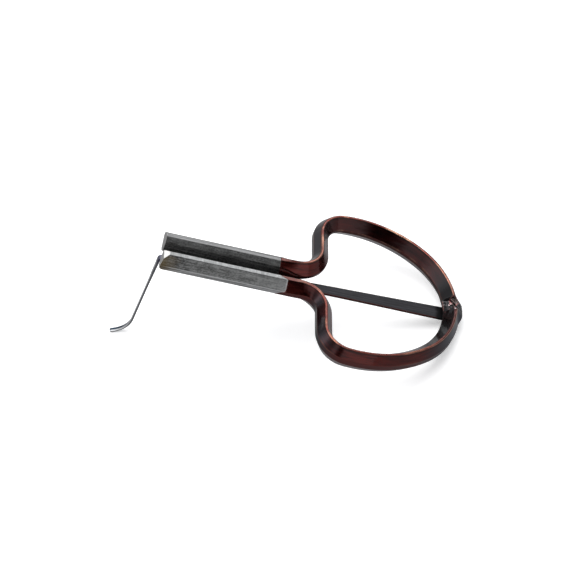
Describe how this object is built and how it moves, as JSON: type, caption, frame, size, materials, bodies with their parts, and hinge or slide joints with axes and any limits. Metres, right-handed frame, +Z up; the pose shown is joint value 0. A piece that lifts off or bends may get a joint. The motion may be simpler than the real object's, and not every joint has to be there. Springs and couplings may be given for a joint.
{
  "type": "jaw harp",
  "caption": "Heart-shaped lacquered steel bow with parallel bare arms and a flat spring reed between them, its end bent down as a plucking trigger.",
  "frame": {"origin": "bottom centre of the whole part's box, on the table the harp lies on", "axes": "+Z up from the table; +X from the trigger and arm tips towards the back of the bow; +Y towards the left arm. The harp lies tipped 20.65 degrees about Y, on the trigger's curl and the back of the bow."},
  "size_m": [0.11, 0.058, 0.0393],
  "materials": {
    "lacquered_steel": "clear dark red-brown lacquer over steel, glossy, more copper red along the edges",
    "ground_steel": "bare ground steel, lengthwise grain with pits",
    "spring_steel": "dark grey hardened strip, satin",
    "blued_steel": "bluish grey tempered steel, satin"
  },
  "bodies": {
    "harp_frame": {"bow": "lacquered_steel", "left_arm": "ground_steel", "right_arm": "ground_steel", "reed_root": "spring_steel"},
    "reed": {"tongue": "spring_steel", "trigger": "blued_steel"}
  },
  "joints": [
    {"name": "reed_spring", "type": "hinge", "parent": "harp_frame", "child": "reed", "pos_m": [0.04772, -0.00019, 0.00365], "axis": [0, 1, 0], "range_deg": [-7, 7], "stiffness_Nm_per_rad": 1.1}
  ]
}
